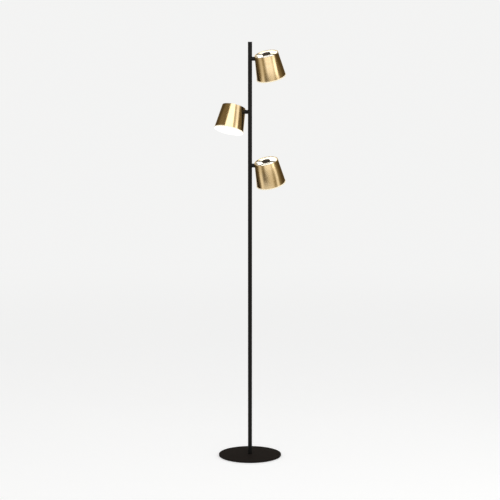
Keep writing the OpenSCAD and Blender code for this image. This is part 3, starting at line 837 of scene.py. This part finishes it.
def makeCollar():
    # a collar that follows the cone outside, and a spigot through the wall
    s, h, c = swivelSet, headSet, collarSet
    outward = outOfShade @ alongX
    collar = rod("collar", s["armRadius"], collarAt, wallAt + c["into"])
    moved(soften(collar, c["edge"], segments=2), outward)
    combine(collar, turned("coneSpace", [(0, 0), (coneRadius(0) + h["fit"], 0),
                                         (h["edge"] + h["fit"], -h["height"]),
                                         (0, -h["height"])], sides["wide"]))
    spigot = rod("spigot", s["spigot"], collarAt + c["spigotFrom"], saddleAt, sides["small"])
    combine(collar, moved(spigot, outward), "UNION")
    bore = rod("bore", s["nipple"] + s["turnFit"], collarAt - spare, saddleAt + spare,
               sides["small"])
    combine(collar, moved(bore, outward))
    onEachHead(finish(collar, "pole_black"), "SwivelCollar", "_swivel_collar")


leadSet = {"radius": 1.8 * mm, "rise": 4 * mm, "straight": 1 * mm, "entry": 3.8 * mm,
           "handle": 0.45, "roundness": 5}


def makeLead():
    # from the shade's wall, out of the nipple and in an S up to the heat sink. It is made along
    # the arm's axis, and not in the shade's frame
    s = leadSet
    sinkFace = hingeOut - sinkSet["radius"]
    start, end = nippleEnd + s["straight"], sinkFace - s["straight"]
    pickOnly(None)
    bpy.ops.curve.primitive_bezier_curve_add()
    lead = added("lead")
    spline = lead.data.splines[0]
    spline.bezier_points.add(2)
    stops = [(wallAt + swivelSet["gap"] / 2, 0), (start, 0), (end, s["rise"]),
             (sinkFace + s["entry"], s["rise"])]
    handle = (end - start) * s["handle"]
    for point, (x, z) in zip(spline.bezier_points, stops):
        point.handle_left_type = point.handle_right_type = "FREE"
        point.co = (x, 0, z)
        point.handle_left = (x - handle, 0, z)
        point.handle_right = (x + handle, 0, z)
    lead.data.bevel_depth = s["radius"]
    lead.data.bevel_resolution = s["roundness"]
    lead.data.use_fill_caps = True
    pickOnly(lead)
    bpy.ops.object.convert(target="MESH")
    bpy.ops.object.transform_apply(location=True, rotation=True, scale=True)
    lead = welded(bpy.context.object)
    onEachHead(finish(lead, "cable"), "HeadLead", "_head_lead", Matrix.Identity(4))


makeShade()
makeDiffuser()
makeSpider()
makeHubCap()
makeHeatSink()
makeLed()
makeBoardScrews()
makeCollar()
makeLead()
print("heads made")

# the frame's own nodes keep their shape and get the same finishes
for part in frame["record"]["subparts"]:
    node = frame["nodes"][part["node"]]
    node.data.materials.clear()
    node.data.materials.append(finishes[part["material_slot"]])
print("carried-over nodes finished")

# the studio: reflectance of the floor, colour of the backdrop, the level of the all-round light,
# and how far out the floor fades into the backdrop
studioSet = {"floor": 0.80, "mottleDark": 0.985, "mottle": 1.6, "rough": 0.9,
             "backdrop": (0.90, 0.90, 0.895), "ambient": 0.62, "floorRadius": 20.0,
             "lift": 0.44, "fadeFrom": 1.4, "fadeTo": 5.0}


def seenRays(w):
    # 1 for what the camera, a reflection or glass sees, and 0 for the light on the object
    path = w.node("ShaderNodeLightPath").socket.node
    camera, gloss, glass = (Wire(w.tree, path.outputs[name]) for name in (
        "Is Camera Ray", "Is Glossy Ray", "Is Transmission Ray"))
    return w.maths("MAXIMUM", camera, w.maths("MAXIMUM", gloss, glass))


def makeFloor():
    s = studioSet
    pickOnly(None)
    bpy.ops.mesh.primitive_circle_add(vertices=sides["round"], radius=s["floorRadius"],
                                      fill_type="NGON")
    floor = added("studioFloor")
    material, w, shader = newFinish("studioFloor",
                                    {"Roughness": s["rough"], "Specular IOR Level": 0.0})
    ground, backdrop = objectPlace(w), opaque(s["backdrop"])
    light, dark = (s["floor"],) * 3, (s["floor"] * s["mottleDark"],) * 3
    w.plug(shader["Base Color"], w.mix(w.noise(ground, s["mottle"], detail=3.0), dark, light))
    seen = seenRays(w)
    lift = w.node("ShaderNodeEmission", None, {"Color": backdrop, "Strength": seen * s["lift"]})
    far = w.node("ShaderNodeEmission", None, {"Color": backdrop})
    lit = Wire(w.tree, material.node_tree.nodes["Principled BSDF"].outputs[0])
    near = w.node("ShaderNodeAddShader", None, {0: lit, 1: lift})
    fade = w.band(w.reach(ground), s["fadeFrom"], s["fadeTo"]) * seen
    whole = w.node("ShaderNodeMixShader", None, {0: fade, 1: near, 2: far})
    w.plug(material.node_tree.nodes["Material Output"].inputs["Surface"], whole)
    floor.data.materials.append(material)


def makeWorld():
    s = studioSet
    world = bpy.data.worlds.new("studio")
    bpy.context.scene.world = world
    world.use_nodes = True
    w = Wire(world.node_tree)
    back = world.node_tree.nodes["Background"].inputs
    back["Color"].default_value = opaque(s["backdrop"])
    w.plug(back["Strength"], s["ambient"] + seenRays(w) * (1 - s["ambient"]))


def around(turn, up, away, height):
    # a place round the object: degrees from the camera's side, degrees up, metres away
    a, e = math.radians(cameraSet["turn"] + turn), math.radians(up)
    direction = Vector((math.sin(a) * math.cos(e), -math.cos(a) * math.cos(e), math.sin(e)))
    return direction * away + Vector((0, 0, height))


lampSet = [
    {"name": "rightBox", "turn": 47, "up": 0, "away": 3.0, "height": 0.85, "size": (1.45, 1.7),
     "level": 1.7},
    {"name": "highBox", "turn": 3, "up": 45, "away": 3.0, "height": 1.15, "size": (3.0, 1.3),
     "level": 1.7},
]


def makeLamps():
    # each aims at the object, and shows neither in the picture nor in a reflection
    for s in lampSet:
        pickOnly(None)
        bpy.ops.object.light_add(
            type="AREA", location=around(s["turn"], s["up"], s["away"], s["height"]))
        lamp = bpy.context.object
        lamp.name = s["name"]
        lamp.data.shape = "RECTANGLE"
        lamp.data.size, lamp.data.size_y = s["size"]
        lamp.data.energy = s["level"] * math.pi * s["size"][0] * s["size"][1]
        aim = Vector((0, 0, s["height"])) - lamp.location
        lamp.rotation_euler = aim.to_track_quat("-Z", "Y").to_euler()
        lamp.visible_camera = lamp.visible_glossy = False


# what the metal sees round it: three rows of cards, with a tone at each number of degrees from
# the camera's side. The lower head sees the low row, the top head the middle row, and the
# middle head, which leans the other way, the high row. Only reflections show them
toneSet = {"soot": (0.10, 0.075, 0.04), "umber": (0.22, 0.175, 0.10),
           "brown": (0.36, 0.31, 0.20), "sand": (0.60, 0.56, 0.46), "tan": (0.76, 0.71, 0.61),
           "cream": (1.08, 1.06, 1.02), "white": (1.38, 1.38, 1.42), "glare": (2.30, 2.30, 2.30)}
backCards = [(152, "soot"), (168, "tan"), (192, "tan"), (208, "soot")]
cardSet = {
    "low": {"away": 1.2, "stops": [
        (-108, "soot"), (-98, "umber"), (-84, "cream"), (-69, "cream"), (-51, "soot"),
        (-27, "soot"), (10, "tan"), (30, "tan"), (43, "brown"), (55, "brown"), (63, "cream"),
        (75, "cream"), (81, "brown"), (94, "umber"), (112, "soot")]},
    "middle": {"away": 1.2, "stops": [
        (-108, "soot"), (-96, "umber"), (-70, "tan"), (-56, "tan"), (-43, "brown"),
        (-34, "brown"), (-12, "white"), (30, "white"), (38, "cream"), (46, "cream"),
        (51, "glare"), (64, "glare"), (70, "umber"), (94, "umber"), (112, "soot")]},
    "high": {"away": 2.2, "stops": [
        (-120, "soot"), (-100, "umber"), (-41, "umber"), (-34, "glare"), (27, "glare"),
        (34, "sand"), (46, "sand"), (54, "white"), (68, "white"), (77, "umber"), (84, "umber"),
        (96, "soot")]},
}
rowSet = {"floorGap": 0.01, "split": 1.45, "top": 7.0, "seam": 0.87, "seamSwing": 0.375,
          "seamTurn": -50, "columns": 200}


def seamHeight(turn):
    # the line between the low and the middle row slants as the heads lean
    s = rowSet
    return s["seam"] - s["seamSwing"] * math.cos(math.radians(turn - s["seamTurn"]))


def toneAt(stops, turn):
    # the tone at a number of degrees, between the stops on either side of it
    for (start, first), (stop, second) in zip(stops, stops[1:]):
        if start <= turn <= stop:
            part = (turn - start) / (stop - start)
            tone = Vector(toneSet[first]).lerp(Vector(toneSet[second]), part)
    return (*tone, 1)


def makeCards(name, lowEdge, highEdge):
    # a strip bent once round the object, whose edges may rise and fall
    stops = cardSet[name]["stops"] + backCards
    stops = stops + [(stops[0][0] + 360, stops[0][1])]
    pickOnly(None)
    bpy.ops.mesh.primitive_grid_add(x_subdivisions=rowSet["columns"], y_subdivisions=1, size=2)
    cards = added(name + "Cards")
    tones = cards.data.attributes.new("tone", "FLOAT_COLOR", "POINT")
    for k, vertex in enumerate(cards.data.vertices):
        turn = stops[0][0] + 180 * (vertex.co.x + 1)
        height = highEdge(turn) if vertex.co.y > 0 else lowEdge(turn)
        vertex.co = around(turn, 0, cardSet[name]["away"], height)
        tones.data[k].color = toneAt(stops, turn)
    material = bpy.data.materials.new(name + "Cards")
    material.use_nodes = True
    w = Wire(material.node_tree)
    tone = w.node("ShaderNodeAttribute", {"attribute_name": "tone"}, out="Color")
    glow = w.node("ShaderNodeEmission", None, {"Color": tone})
    w.plug(material.node_tree.nodes["Material Output"].inputs["Surface"], glow)
    cards.data.materials.append(material)
    for flag in ("visible_camera", "visible_diffuse", "visible_shadow", "visible_transmission"):
        setattr(cards, flag, False)


makeFloor()
makeWorld()
makeLamps()
makeCards("low", lambda turn: rowSet["floorGap"], seamHeight)
makeCards("middle", seamHeight, lambda turn: rowSet["split"])
makeCards("high", lambda turn: rowSet["split"], lambda turn: rowSet["top"])
bpy.context.scene.view_settings.view_transform = "Standard"
print("studio made")
